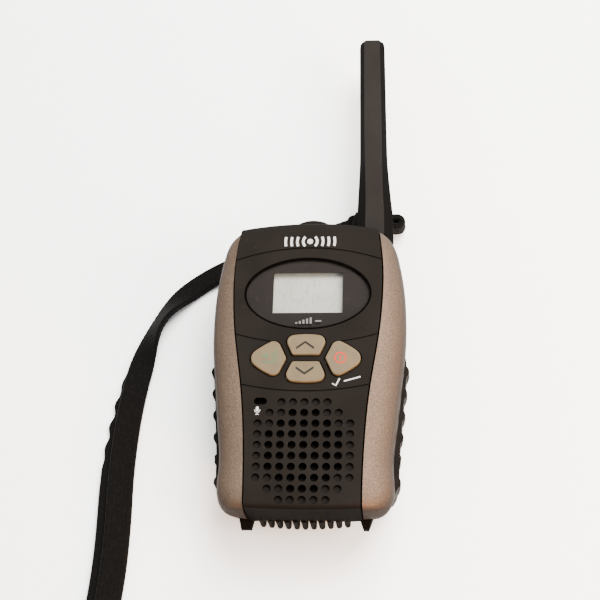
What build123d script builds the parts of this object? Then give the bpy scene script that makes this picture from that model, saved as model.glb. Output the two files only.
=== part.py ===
from build123d import *
import math
import os

# Hand-held two-way radio lying on its back.
# X runs across the body, Y runs from the bottom end towards the antenna tip and
# Z comes out of the front face.  Stations along the body are measured from the
# tips of the bottom feet; everything is moved at the end so that the origin is
# the centre of the footprint and the battery door rests on Z = 0.

# ------------------------------------------------------------- driving sizes
OVERALL_LENGTH = 162.0      # bottom feet to antenna tip
BODY_LOW = 1.8              # widest section: bottom end
BODY_HIGH = 90.2            # widest section: top end
FRONT_Z = 30.0              # front face
PARTING_Z = 16.0            # seam between front and rear mouldings
CHEEK_WALL = 1.6
STRIP_WALL = 2.2            # middle strip of the front case
STRIP_SIDE_WALL = 1.2       # side walls of the strip, down to the flange
FLANGE_Z = 24.6             # flange of the front case under the cheeks
FLANGE_THICK = 1.2
REAR_WALL = 1.8
SEAM = 0.45                 # visible joint between mouldings
END_BOW = 2.6               # bow of the strip's upper end across its width

# half-widths of the body outline at stations along it (station, half-width)
SIDE = [
    (2.2, 19.3), (3.3, 22.6), (5.8, 24.6), (15.0, 25.1), (28.0, 26.05),
    (41.0, 27.4), (52.0, 28.5), (62.0, 28.7), (72.0, 28.1), (80.0, 26.8),
    (85.6, 25.0), (88.2, 22.3), (89.5, 16.5),
]
# half-widths of the dark middle strip (station, half-width)
STRIP = [
    (-6.0, 16.3), (8.0, 16.3), (20.0, 16.7), (30.0, 17.4), (38.0, 18.3),
    (46.0, 19.5), (55.0, 20.8), (65.0, 21.6), (75.0, 21.7), (84.0, 20.9), (98.0, 19.4),
]
# front sections: height, side inset, bottom station, top station
FRONT_SECTIONS = [
    (16.0, 0.35, 2.3, 89.8), (20.0, 0.0, 1.8, 90.2), (24.0, 0.8, 1.8, 90.2),
    (27.0, 2.6, 1.9, 89.9), (28.8, 5.0, 2.4, 88.9), (29.7, 7.6, 3.3, 87.4),
    (30.0, 10.5, 4.6, 85.5),
]
# rear sections: height, side inset, bottom station, top station
REAR_SECTIONS = [
    (15.85, 0.35, 2.5, 90.3), (12.0, 0.6, 2.9, 90.9), (8.6, 2.0, 4.9, 90.0),
    (6.3, 5.2, 8.2, 87.2), (5.4, 9.5, 12.5, 82.5),
]

# speaker grille
GRILLE_COLUMN = 3.28
GRILLE_ROW = 3.17
GRILLE_HOLE = 2.3
GRILLE_CENTRE = 18.35
GRILLE_ROWS = [5, 7, 9, 9, 9, 9, 9, 9, 7, 5]
OPEN_HOLES = [0, 3, 5, 7, 7, 7, 7, 5, 3, 0]
DIMPLE_DEPTH = 0.7

# display
LENS_CENTRE = 66.4
LENS_SEAT_X = 18.75
LENS_SEAT_Y = 11.5
LENS_GAP = 0.6
LENS_DEPTH = 1.0
WINDOW = (20.4, 12.8)
WINDOW_CENTRE = 66.9

# keypad
PAD_CENTRE = 45.8
PAD_HALF_WIDTH = 16.1
PAD_HALF_HEIGHT = 7.7
PAD_TIP_RADIUS = 3.1
KEY_TOP = FRONT_Z + 0.8
KEY_GAP = 0.4
KEY_CORNER = 0.9            # beside the web between the keys
KEY_OUTER_CORNER = 2.1      # on the oval's edge

# microphone
MIC_X = -12.6
MIC_Y = 32.9
MIC_BOTTOM = 24.7
MIC_TOP = 27.2
MIC_RADIUS = 2.9

# circuit boards and what stands on them
BOARD_Z = 22.0
BOARD_THICK = 1.2
BOARD_TOP = BOARD_Z + BOARD_THICK
SCREWS = [(-13.4, 8.6), (13.4, 8.6), (-16.5, 83.6), (16.8, 73.4)]
GLASS_LOW = 25.6
GLASS_HIGH = 27.3
GLASS_SIZE = (25.0, 17.4)

# speaker
SPEAKER_RADIUS = 13.8
MAGNET_RADIUS = 6.5
# wires from the speaker and the microphone to the board (station, height)
WIRE_RADIUS = 0.35
SPEAKER_WIRE = [(32.3, 22.7), (33.6, 20.8), (36.9, 20.6), (37.6, 21.8)]
MIC_WIRE = [(32.9, 24.65), (33.3, 23.1), (36.55, 22.6)]

# push-to-talk key on the left side
PTT_LOW = 60.0
PTT_HIGH = 76.0
PTT_FACE_X = -28.9
PTT_Z = (10.2, 14.8)

# headset socket at the top end
JACK_X = 0.0
JACK_Z = 12.6
JACK_BORE = 1.8

# bottom feet and side grips
FOOT_Z = 12.4
FOOT_X = 17.2
RIB_CENTRE = -0.6
RIB_PITCH = 2.45
RIB_HALF = 13.2             # half the width of the row of ribs
RIB_RADIUS = 0.85
RIB_END = 2.9
RIB_BOW = 0.8
RIB_ROOT = 6.8              # the ribs run into the end wall up to here
RIB_Z = (7.9, 15.6)
BUMP_RADIUS = 2.1
BUMPS = [(47.2, 29.5), (40.4, 28.9), (33.6, 28.35), (26.9, 27.85), (20.1, 27.4), (13.3, 27.1)]

# batteries
CELL_R = 5.2
CELL_LENGTH = 43.3
CELL_PITCH = 11.0
CELL_Z = 7.1
BAY_LOW = 13.0
BAY_HIGH = 61.4
BAY_HALF = 17.0
BAY_ROOF = 12.8
BULGE_HALF = 20.9
BULGE_LOW = 9.4
BULGE_HIGH = 64.0

# antenna: station, centre x, width, width of the flat front strip, thickness
ANTENNA = [
    (91.0, 19.0, 11.4, 5.8, 10.2), (95.0, 19.0, 11.2, 5.8, 10.0), (100.0, 18.95, 10.9, 5.7, 9.4),
    (104.0, 18.8, 10.3, 5.4, 8.8), (113.0, 18.55, 9.1, 5.3, 7.6), (118.5, 18.4, 8.6, 5.4, 7.2),
    (128.0, 18.2, 8.4, 5.5, 6.8), (159.6, 17.6, 8.1, 5.1, 6.0), (160.8, 17.6, 7.8, 4.9, 5.8),
    (161.5, 17.6, 7.3, 4.6, 5.5), (OVERALL_LENGTH, 17.6, 6.4, 4.2, 5.0),
]
ANTENNA_TIP_DROP = 0.5      # the blade's front falls away at its tip
ANTENNA_FRONT = 18.5
ROD_X = 18.7
ROD_Z = 12.2
ROD_RADIUS = 1.5

# wrist strap: a loop on edge round the stud, then two legs flat on the table
STRAP_WIDTH = 8.0
STRAP_THICK = 2.6           # both legs together
STRAP_Z = 0.4
HITCH_LEFT = 9.6
HITCH_RIGHT = 28.3
HITCH_Y = 101.2
HITCH_ACROSS = 5.4
HITCH_THICK = 1.6
HITCH_Z = (1.9, 7.3)
KEEPER_X = 13.4
KEEPER_WIDTH = 3.4
KEEPER_SLANT = -14.0
KEEPER_WALL = 0.8
STUD_X = 21.0
# hand-placed route of the legs (x, station)
STRAP_ROUTE = [
    (9.3, 100.0), (3.6, 98.6), (-6.5, 95.5), (-19.0, 91.3), (-30.4, 86.3), (-39.8, 80.0),
    (-46.4, 72.8), (-50.8, 64.4), (-53.9, 54.2), (-56.3, 43.0), (-57.9, 30.5), (-58.7, 17.5),
    (-58.4, 4.5), (-58.6, -8.0), (-59.6, -20.0), (-61.0, -32.0), (-60.4, -43.0),
]

os.makedirs("parts", exist_ok=True)


def save(name, shape):
    """Write one sub-part in the part's own frame."""
    moved = Pos(0, -OVERALL_LENGTH / 2, 0) * shape
    export_step(moved, f"parts/{name}.step")


def block(x0, x1, y0, y1, z0, z1):
    """Box between two corners."""
    middle = ((x0 + x1) / 2, (y0 + y1) / 2, (z0 + z1) / 2)
    return Pos(*middle) * Box(x1 - x0, y1 - y0, z1 - z0)


def post(x, y, z0, z1, radius):
    """Round post standing along Z."""
    return Pos(x, y, (z0 + z1) / 2) * Cylinder(radius, z1 - z0)


def bar(x, z, y0, y1, radius):
    """Round bar lying along Y."""
    return Pos(x, (y0 + y1) / 2, z) * Rot(90, 0, 0) * Cylinder(radius, y1 - y0)


def slab(sketch, z0, z1):
    """Flat sketch extruded between two heights."""
    return Pos(0, 0, z0) * extrude(sketch, z1 - z0)


# ------------------------------------------------------------- body outline
def section(z, inset, low, high):
    """Closed smooth outline of the body at one height."""
    stretch = (high - low) / (BODY_HIGH - BODY_LOW)
    points = [(half - inset, low + (y - BODY_LOW) * stretch) for y, half in SIDE]
    right = Spline((0, low), *points, (0, high), tangents=[(1, 0), (-1, 0)])
    left = Spline((0, high), *[(-x, y) for x, y in reversed(points)], (0, low), tangents=[(-1, 0), (1, 0)])
    return Pos(0, 0, z) * make_face([right, left])


def front_form(t):
    """Solid front half, drawn in by t on every outer face."""
    faces = []
    for z, inset, low, high in FRONT_SECTIONS:
        drop = t * min(max((z - 20.0) / 7.0, 0.0), 1.0)
        faces.append(section(z - drop, inset + t, low + t, high - t))
    return loft(faces)


def rear_form(t):
    """Solid rear half, drawn in by t on every outer face."""
    faces = []
    for z, inset, low, high in REAR_SECTIONS:
        rise = t * min(max((11.0 - z) / 4.0, 0.0), 1.0)
        faces.append(section(z + rise, inset + t, low + t, high - t))
    return loft(faces)


def strip_face(grow):
    """Plan of the middle strip, wider by grow on each side."""
    right = [(half + grow, y) for y, half in STRIP]
    left = [(-x, y) for x, y in reversed(right)]
    edges = [Spline(*right), Line(right[-1], left[0]), Spline(*left), Line(left[-1], right[0])]
    return make_face(edges)


# ------------------------------------------------------------- keypad plan
def pad_face(shrink):
    """Oval plan of the key cluster: two wide arcs joined by a small arc at each tip."""
    half = PAD_HALF_WIDTH - shrink
    high = PAD_HALF_HEIGHT - shrink
    tip = PAD_TIP_RADIUS - shrink
    reach = half - tip
    wide = (reach ** 2 / (high - tip) + high + tip) / 2
    x = reach * wide / (wide - tip)
    y = (wide - high) * tip / (wide - tip)
    arcs = [ThreePointArc((-x, y), (0, high), (x, y)), ThreePointArc((x, y), (half, 0), (x, -y)),
            ThreePointArc((x, -y), (0, -high), (-x, -y)), ThreePointArc((-x, -y), (-half, 0), (-x, y))]
    return Pos(0, PAD_CENTRE) * make_face(arcs)


def key_face(name, grow):
    """Plan of one key: its sector of the oval, wider by grow."""
    c = PAD_CENTRE
    sectors = {
        "up": [(-3.9, c + 1.0), (3.9, c + 1.0), (7.6, c + 9.2), (-7.6, c + 9.2)],
        "down": [(-3.9, c - 1.0), (-7.6, c - 9.2), (7.6, c - 9.2), (3.9, c - 1.0)],
        "power": [(5.6, c), (9.9, c + 9.2), (18.0, c + 9.2), (18.0, c - 9.2), (9.9, c - 9.2)],
        "call": [(-5.6, c), (-9.9, c + 9.2), (-18.0, c + 9.2), (-18.0, c - 9.2), (-9.9, c - 9.2)],
    }
    outline = Polyline(*sectors[name], close=True)
    plan = pad_face(0.3) & make_face(outline)
    straight = PAD_HALF_WIDTH - PAD_TIP_RADIUS
    beside_web = plan.vertices().filter_by(
        lambda v: abs(v.X) < straight and abs(v.Y - c) < PAD_HALF_HEIGHT / 2)
    plan = fillet(beside_web, KEY_CORNER)
    on_oval = plan.vertices().filter_by(
        lambda v: abs(v.X) < straight and abs(v.Y - c) > PAD_HALF_HEIGHT / 2)
    plan = fillet(on_oval, KEY_OUTER_CORNER)
    if grow:
        plan = offset(plan, grow)
    return plan


KEY_NAMES = ["up", "down", "power", "call"]
KEY_CENTRES = {
    "up": (0.0, PAD_CENTRE + 4.0), "down": (0.0, PAD_CENTRE - 4.0),
    "power": (10.4, PAD_CENTRE), "call": (-10.4, PAD_CENTRE),
}


def key_cap(name):
    """Rubber key: printed cap, flange under the panel and a plunger."""
    x, y = KEY_CENTRES[name]
    cap = slab(key_face(name, 0), 25.4, KEY_TOP)
    cap = fillet(cap.faces().sort_by(Axis.Z)[-1].edges(), 0.35)
    flange = slab(key_face(name, 0.7) & pad_face(-0.6), 25.2, 26.3)
    return cap + flange + post(x, y, 24.3, 25.4, 1.5)


# ------------------------------------------------------------- front pieces
def hole_grid(counts, radius, z0, z1):
    """Rows of round holes, the first row being the top one."""
    holes = []
    for row, count in enumerate(counts):
        y = GRILLE_CENTRE + (4.5 - row) * GRILLE_ROW
        for column in range(count):
            x = (column - (count - 1) / 2) * GRILLE_COLUMN
            holes.append(post(x, y, z0, z1, radius))
    return holes


def curved_groove(end_x, end_y, middle_y):
    """Shallow groove across the strip along an arc."""
    path = ThreePointArc((-end_x, end_y), (0, middle_y), (end_x, end_y))
    return slab(trace(path, 0.5), FRONT_Z - 0.35, FRONT_Z + 1)


def lens_oval(gap):
    """Plan of the oval seat of the lens, drawn in by gap."""
    return Pos(0, LENS_CENTRE) * Ellipse(LENS_SEAT_X - gap, LENS_SEAT_Y - gap)


def strip_form(t):
    """Flat-topped form of the strip with bowed, rounded ends, drawn in by t."""
    low = BODY_LOW + t
    high = BODY_HIGH - t
    top = FRONT_Z - t
    ends = [ThreePointArc((-24, high - END_BOW), (0, high), (24, high - END_BOW)),
            ThreePointArc((24, low + END_BOW / 3), (0, low), (-24, low + END_BOW / 3))]
    sides = [Line((24, high - END_BOW), (24, low + END_BOW / 3)),
             Line((-24, low + END_BOW / 3), (-24, high - END_BOW))]
    form = slab(make_face([ends[0], sides[0], ends[1], sides[1]]), PARTING_Z - 2 * (t > 0), top)
    rims = form.edges().filter_by(GeomType.CIRCLE).group_by(Axis.Z)[-1].sort_by(Axis.Y)
    form = fillet(rims[0], 1.7)
    rims = form.edges().filter_by(GeomType.CIRCLE).filter_by(lambda e: e.center().Z > top - 0.01)
    return fillet(rims.sort_by(Axis.Y)[-1], 3.0)


def mic_holes():
    """The two sound holes of the microphone."""
    return [post(MIC_X + side * 0.8, MIC_Y, 20, 40, 0.45) for side in (-1, 1)]


def front_case():
    """Dark front moulding: flat strip, side walls and a flange under the cheeks."""
    top = (strip_form(0) - strip_form(STRIP_WALL)) & slab(strip_face(0), 10, 40)
    walls = slab(strip_face(0) - strip_face(-STRIP_SIDE_WALL), FLANGE_Z, FRONT_Z - 1.0)
    walls = walls & strip_form(0.2)
    outline = section(0, 5.2, BODY_LOW + 4.4, BODY_HIGH - 4.4)
    flange = slab(outline - strip_face(-STRIP_SIDE_WALL), FLANGE_Z, FLANGE_Z + FLANGE_THICK)
    case = top + walls + flange
    case = case - slab(lens_oval(0), FRONT_Z - LENS_DEPTH, 40)
    window = Pos(0, WINDOW_CENTRE) * Rectangle(WINDOW[0] + 1.6, WINDOW[1] + 1.6)
    case = case - slab(window, 20, 40)
    for name in KEY_NAMES:
        case = case - slab(key_face(name, KEY_GAP), 20, 40)
    case = case - curved_groove(23.0, 76.6, 81.0)
    case = case - (curved_groove(23.0, 54.2, 50.4) - block(-8.0, 8.0, 40, 60, 20, 40))
    case = case - curved_groove(20.0, 38.3, 35.9)
    case = case - hole_grid(GRILLE_ROWS, GRILLE_HOLE / 2, FRONT_Z - DIMPLE_DEPTH - 0.25, 40)
    case = case - hole_grid(OPEN_HOLES, GRILLE_HOLE / 2, 20, 40)
    mic = Pos(MIC_X, MIC_Y) * SlotOverall(3.7, 2.1)
    case = case - slab(mic, FRONT_Z - 1.3, 40)
    case = case - mic_holes()
    bosses = [post(x, y, 16.4, 28.2, 2.6) - post(x, y, 16.0, 26.5, 0.9) for x, y in SCREWS]
    studs = [post(x, y, BOARD_TOP, 28.4, 1.4)
             for x, y in [(-17.0, 56.4), (17.0, 56.4), (-16.8, 79.0), (13.5, 79.0)]]
    ring = post(0, GRILLE_CENTRE, 25.4, 28.3, 15.2) - post(0, GRILLE_CENTRE, 25.0, 29.0, 14.4)
    cup = post(MIC_X, MIC_Y, 25.4, 28.3, 4.4) - post(MIC_X, MIC_Y, 25.0, 29.0, 3.7)
    cup = cup - post(0, GRILLE_CENTRE, 25.0, 29.0, 14.4)
    return case + bosses + studs + [ring, cup]


def cheek(side):
    """Painted side cheek of the front."""
    shell = outer_form - front_form(CHEEK_WALL) - slab(strip_face(SEAM), 10, 40)
    half = block(0, 60, -10, 120, 0, 60) if side > 0 else block(-60, 0, -10, 120, 0, 60)
    return shell & half


# ------------------------------------------------------------- rear pieces
def foot(x, tip_width):
    """Tapered standing foot at the bottom end."""
    root = Pos(x, 5.2, FOOT_Z) * Rot(90, 0, 0) * Rectangle(5.0, 4.2)
    tip = Pos(x, 0.0, FOOT_Z) * Rot(90, 0, 0) * Rectangle(tip_width, 1.8)
    return loft([root, tip])


def end_rib(x):
    """One upright round-nosed rib across the bottom end, which bows out in the middle."""
    nose = RIB_END - RIB_BOW * (1 - (x - RIB_CENTRE) ** 2 / RIB_HALF ** 2)
    left, right = x - RIB_RADIUS, x + RIB_RADIUS
    outline = [
        ThreePointArc((left, nose), (x, nose - RIB_RADIUS), (right, nose)),
        Line((right, nose), (right, RIB_ROOT)), Line((right, RIB_ROOT), (left, RIB_ROOT)),
        Line((left, RIB_ROOT), (left, nose)),
    ]
    return slab(make_face(outline), *RIB_Z)


def rear_case():
    """Dark rear moulding with the battery bay, bottom ribs and feet."""
    shell = rear_outer - rear_inner
    bulge = slab(Pos(0, (BULGE_LOW + BULGE_HIGH) / 2) *
                 RectangleRounded(2 * 19.3, BULGE_HIGH - BULGE_LOW - 0.4, 2.5), 1.7, 9.0)
    bulge = bulge - (rear_inner - block(-18.4, 18.4, BAY_LOW - 1.5, BAY_HIGH + 1.4, 0, 20))
    tray = block(-18.4, 18.4, BAY_LOW - 1.4, BAY_HIGH + 1.4, 6.0, BAY_ROOF + 1.3)
    bay = block(-BAY_HALF, BAY_HALF, BAY_LOW, BAY_HIGH, -1, BAY_ROOF)
    ribs = [end_rib(RIB_CENTRE + RIB_PITCH * k) for k in range(-5, 6)]
    feet = [foot(-FOOT_X, 3.0), foot(FOOT_X, 1.5)]
    inside = rear_form(0.3)
    bosses = [(post(x, y, 5.0, 15.6, 3.2) & inside) for x, y in SCREWS]
    core = (bulge + tray) - bay
    case = (shell - bay) + core + bosses + ribs + feet
    for side in (-1, 1):
        groove = block(18.7, 22.0, BULGE_LOW - 1, BULGE_HIGH - 2.0, 3.2, 4.6)
        case = case - (groove if side > 0 else mirror(groove, Plane.YZ))
    for x, y in SCREWS:
        case = case - post(x, y, 0, 10.6, 2.4) - post(x, y, 0, 20, 1.3)
    case = case - block(-32, -20, PTT_LOW - 0.2, PTT_HIGH + 0.2, 9.8, 15.2)
    case = case - bar(JACK_X, JACK_Z, 85, 96, 3.2)
    case = case - block(14.5, 23.1, 83, 96, 9.3, 15.2)
    return case


def door():
    """Battery door: plate, end wall and side skirts hooked into the grooves."""
    middle = (BULGE_LOW + BULGE_HIGH) / 2
    plan = Pos(0, middle) * RectangleRounded(2 * BULGE_HALF, BULGE_HIGH - BULGE_LOW, 3.0)
    plate = slab(plan, 0, 1.5)
    plate = fillet(plate.faces().sort_by(Axis.Z)[0].edges(), 0.6)
    skirt = block(19.6, BULGE_HALF, BULGE_LOW + 3, BULGE_HIGH - 3.2, 1.2, 5.0)
    lip = block(18.95, 19.8, BULGE_LOW + 3, BULGE_HIGH - 3.2, 3.4, 4.4)
    rail = skirt + lip
    arrows = [block(-6, 6, BULGE_LOW + 5 + 2.2 * k, BULGE_LOW + 5.9 + 2.2 * k, -1, 0.4)
              for k in range(4)]
    return plate + [rail, mirror(rail, Plane.YZ)] - arrows


def grip(side):
    """Rubber grip with six bumps along one side of the rear case."""
    base = [(x - 0.75, y) for y, x in BUMPS]
    outer = [(27.9, 53.6), (28.6, 50.6)] + base + [(25.6, 10.2), (24.5, 8.4)]
    inner = [(x - 4.5, y) for x, y in reversed(outer)]
    plan = make_face([Spline(*outer), Line(outer[-1], inner[0]), Spline(*inner),
                      Line(inner[-1], outer[0])])
    for y, x in BUMPS:
        plan = plan + Pos(x - BUMP_RADIUS, y) * Circle(BUMP_RADIUS)
    solid = (slab(plan, 7.2, 15.5) & rear_form(-2.3)) - rear_form(0.0)
    return solid if side > 0 else mirror(solid, Plane.YZ)


def ptt_key():
    """Push-to-talk key with a retaining flange inside the wall."""
    low, high = PTT_LOW + 0.2, PTT_HIGH - 0.2
    key = block(PTT_FACE_X, -23.0, low, high, *PTT_Z)
    outer = key.faces().sort_by(Axis.X)[0]
    key = fillet(outer.edges(), 0.9)
    ribs = [block(-30, -28.5, 65.0 + 1.5 * k, 65.5 + 1.5 * k, 8, 16) for k in range(5)]
    return key - ribs + block(-23.2, -22.4, low - 1.4, high + 0.9, 10.2, 15.3)


# ------------------------------------------------------------- antenna
def antenna_section(y, x, width, face_width, thickness):
    """Eight-sided section with a flat front strip."""
    half = width / 2
    flat = face_width / 2
    front = ANTENNA_FRONT - (0.0 if y < OVERALL_LENGTH else ANTENNA_TIP_DROP)
    back = front - thickness
    side = thickness * 0.3
    points = [
        (x - flat, front), (x - half, front - side), (x - half, back + side),
        (x - half * 0.7, back), (x + half * 0.7, back), (x + half, back + side),
        (x + half, front - side), (x + flat, front),
    ]
    placed = [(px, y, pz) for px, pz in points]
    return make_face(Polyline(*placed, close=True))


def antenna_cover():
    """Moulded blade antenna, its foot and the stud that holds the strap."""
    blade = loft([antenna_section(*row) for row in ANTENNA], ruled=True)
    foot_block = block(14.8, 22.8, 84.4, 91.4, 9.6, 14.9)
    flange = block(14.0, 23.6, 86.0, 88.0, 9.0, 15.3) & rear_inner
    bore = bar(ROD_X, ROD_Z, 83, 108, ROD_RADIUS + 0.1)
    return blade + foot_block + flange - bore


def strap_stud():
    """Mushroom stud behind the antenna foot that the strap loops over."""
    return post(STUD_X, HITCH_Y, 1.2, 8.9, 1.0) + post(STUD_X, HITCH_Y, 0.5, 1.5, 2.2)


# ------------------------------------------------------------- wrist strap
def hitch_slot(shrink):
    """Plan of the strap's loop, drawn in by shrink."""
    length = HITCH_RIGHT - HITCH_LEFT - 2 * shrink
    middle = (HITCH_LEFT + HITCH_RIGHT) / 2
    return Pos(middle, HITCH_Y) * SlotOverall(length, HITCH_ACROSS - 2 * shrink)


def strap_hitch():
    """Strap loop standing on edge round the stud."""
    return slab(hitch_slot(0) - hitch_slot(HITCH_THICK), *HITCH_Z)


def strap_keeper():
    """Slanting sleeve stitched round the loop."""
    across = HITCH_ACROSS + 2 * KEEPER_WALL
    plan = Pos(KEEPER_X, HITCH_Y) * Rot(0, 0, KEEPER_SLANT) * Rectangle(KEEPER_WIDTH, across)
    sleeve = slab(plan, HITCH_Z[0] - KEEPER_WALL, HITCH_Z[1] + KEEPER_WALL)
    return sleeve - slab(hitch_slot(0), *HITCH_Z)


def strap_path():
    """Route of the two legs, with arcs as large as their runs allow."""
    points = [Vector(x, y, 0) for x, y in STRAP_ROUTE]
    radii = []
    for before, here, after in zip(points, points[1:], points[2:]):
        turn = math.radians((here - before).get_angle(after - here))
        run = min((here - before).length, (after - here).length)
        radii.append(0.45 * run / math.tan(turn / 2))
    return FilletPolyline(*STRAP_ROUTE, radius=radii), radii


def strap_legs():
    """Both legs of the strap laid on each other, as one flat band."""
    path, radii = strap_path()
    print("strap radii", [round(r, 1) for r in radii])
    band = slab(trace(path, STRAP_WIDTH), STRAP_Z, STRAP_Z + STRAP_THICK)
    wanted = path.length * STRAP_WIDTH * STRAP_THICK
    print("strap length", round(path.length, 1), "volume ratio", round(band.volume / wanted, 3))
    return band


# ------------------------------------------------------------- inner pieces
def main_board():
    """Circuit board behind the display and the keys."""
    board = block(-19.4, 19.4, 36.6, 80.4, BOARD_Z, BOARD_TOP)
    return board - [post(x, y, 20, 25, 3.4) for x, y in SCREWS]


def key_mat():
    """Silicone sheet under the keys, open over each dome."""
    plan = Pos(0, PAD_CENTRE) * RectangleRounded(32.6, 16.6, 3.0)
    mat = slab(plan, BOARD_TOP, BOARD_TOP + 0.9)
    return mat - [post(x, y, 20, 25, 3.2) for x, y in KEY_CENTRES.values()]


def key_domes():
    """Snap domes on the board."""
    return [post(x, y, BOARD_TOP, BOARD_TOP + 0.3, 2.4) for x, y in KEY_CENTRES.values()]


def display_glass():
    """Liquid crystal display."""
    return slab(Pos(0, WINDOW_CENTRE) * Rectangle(*GLASS_SIZE), GLASS_LOW, GLASS_HIGH)


def display_holder():
    """Frame that holds the display on the board, open for the backlight and the contact."""
    holder = block(-13.6, 13.6, 57.0, 76.8, BOARD_TOP, GLASS_HIGH)
    holder = holder - block(-12.6, 12.6, 58.1, 75.7, GLASS_LOW - 0.1, 28)
    holder = holder - block(-11.6, 11.6, 61.0, 74.7, 20, 28)
    return holder - block(-11.0, 11.0, 58.4, 60.4, 20, 28)


def display_contact():
    """Striped rubber strip that connects the display."""
    return block(-10.8, 10.8, 58.6, 60.2, BOARD_TOP, GLASS_LOW)


def backlight():
    """White light spreader under the display."""
    return block(-11.4, 11.4, 61.2, 74.5, BOARD_TOP, GLASS_LOW - 0.2)


def crystal():
    """Tall tin can that sets the radio's frequency."""
    return block(11.6, 15.2, 50, 60.5, 18.4, BOARD_Z)


def control_chip():
    """Large chip under the keys."""
    return block(-5, 5, 44, 54, 20.4, BOARD_Z)


def audio_chip():
    """Small amplifier chip near the speaker."""
    return block(-2.5, 2.5, 38.2, 42.6, 20.6, BOARD_Z)


def capacitor():
    """Round capacitor lying under the board."""
    return bar(-12.5, 19.0, 44, 54.5, 3.0)


def shield_can():
    """Screening can under the radio circuits."""
    outer = block(-12, 10, 63.6, 79.6, 16.6, BOARD_Z)
    return outer - block(-11.6, 9.6, 64.0, 79.2, 17.0, BOARD_Z + 1)


def wires(half_gap, route, middle=0.0):
    """Pair of thin insulated wires side by side, following a route in Y and Z."""
    pair = []
    for side in (-1, 1):
        points = [(middle + side * half_gap, y, z) for y, z in route]
        path = FilletPolyline(*points, radius=0.7)
        pair.append(sweep(Plane(origin=path @ 0, z_dir=path % 0) * Circle(WIRE_RADIUS), path))
    return pair


def speaker_frame():
    """Speaker basket ring."""
    ring = post(0, GRILLE_CENTRE, 22.0, 26.9, SPEAKER_RADIUS)
    ring = ring - post(0, GRILLE_CENTRE, 23.0, 27.5, SPEAKER_RADIUS - 1.2)
    return ring - post(0, GRILLE_CENTRE, 21.0, 24.0, MAGNET_RADIUS + 0.1)


def speaker_magnet():
    """Magnet cup behind the basket."""
    return post(0, GRILLE_CENTRE, 18.2, 23.2, MAGNET_RADIUS)


def speaker_felt():
    """Dust felt between the speaker and the grille."""
    return post(0, GRILLE_CENTRE, 27.1, 27.7, SPEAKER_RADIUS - 1.0)


def speaker_cone():
    """Paper cone with its surround and dust cap."""
    centre = (0, GRILLE_CENTRE)
    outer = Pos(*centre, 25.0) * Cone(6.5, 12.4, 3.0)
    inner = Pos(*centre, 25.4) * Cone(6.1, 12.2, 3.0)
    cap = post(*centre, 23.6, 24.6, 5.0)
    return outer - inner + cap


def battery_cells():
    """Three AAA cells side by side, the middle one reversed."""
    cells = []
    for k in (-1, 0, 1):
        x = k * CELL_PITCH
        low = BAY_LOW + (3.6 if k else 1.4)
        body = bar(x, CELL_Z, low, low + CELL_LENGTH - 0.5, CELL_R)
        nub = bar(x, CELL_Z, low - 0.9 if not k else low + 42.0,
                  low + 1 if not k else low + CELL_LENGTH + 0.4, 1.9)
        cells.append(body + nub)
    return cells


def contact_springs():
    """Three coiled battery springs."""
    springs = []
    for k in (-1, 0, 1):
        start = BAY_LOW + 0.7 if k else BAY_HIGH - 0.7
        coil = Helix(pitch=0.95, height=2.4, radius=2.6)
        wire = sweep(Plane(origin=coil @ 0, z_dir=coil % 0) * Circle(0.22), coil)
        turn = Rot(-90, 0, 0) if k else Rot(90, 0, 0)
        springs.append(Pos(k * CELL_PITCH, start, CELL_Z) * turn * wire)
    return springs


def contact_plates():
    """Flat contacts at the ends of the battery bay."""
    plates = []
    for k in (-1, 0, 1):
        x = k * CELL_PITCH
        for low in (BAY_LOW, BAY_HIGH - 0.4):
            plates.append(block(x - 3.9, x + 3.9, low, low + 0.4, 3.4, 10.8))
    return plates


def microphone():
    """Microphone capsule."""
    return post(MIC_X, MIC_Y, MIC_BOTTOM, MIC_TOP, MIC_RADIUS)


def microphone_boot():
    """Rubber boot round the capsule, open at the sound holes."""
    boot = post(MIC_X, MIC_Y, MIC_BOTTOM - 0.1, MIC_TOP + 0.4, MIC_RADIUS + 0.7)
    boot = boot - post(MIC_X, MIC_Y, MIC_BOTTOM - 0.7, MIC_TOP + 0.05, MIC_RADIUS + 0.05)
    return boot - mic_holes()


def ptt_switch():
    """Switch behind the push-to-talk key, with its plunger."""
    plunger = Pos(-20.8, 68, 12.3) * Rot(0, 90, 0) * Cylinder(1.5, 0.9)
    return block(-20.4, -17.6, 64.8, 71.2, 9.4, 15.0) + plunger


def ptt_board():
    """Small upright board that carries the switch."""
    return block(-17.6, -16.6, 63.0, 73.0, 8.6, 16.2)


def audio_jack():
    """Headset socket."""
    return block(-3.5, 3.5, 78.4, 87.9, 9.9, 15.6) - bar(JACK_X, JACK_Z, 80, 92, JACK_BORE)


def antenna_bracket():
    """Brass clip from the antenna rod up to the board."""
    foot_plate = block(16.6, 20.6, 79.4, 81.9, 10.6, 15.5)
    shelf = block(16.6, 20.6, 77.4, 81.9, 15.5, 16.3)
    return foot_plate + shelf + block(16.6, 20.6, 77.4, 78.2, 15.5, BOARD_Z)


def antenna_rod():
    """Brass radiator inside the antenna."""
    return bar(ROD_X, ROD_Z, 82.0, 107.5, ROD_RADIUS)


def case_screws():
    """Four self-tapping screws from the back."""
    screws = []
    for x, y in SCREWS:
        screw = post(x, y, 8.9, 10.5, 2.1) + post(x, y, 10.5, 24.0, 0.88)
        slot_a = block(x - 1.4, x + 1.4, y - 0.25, y + 0.25, 8.5, 9.7)
        slot_b = block(x - 0.25, x + 0.25, y - 1.4, y + 1.4, 8.5, 9.7)
        screws.append(screw - slot_a - slot_b)
    return screws


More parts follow.
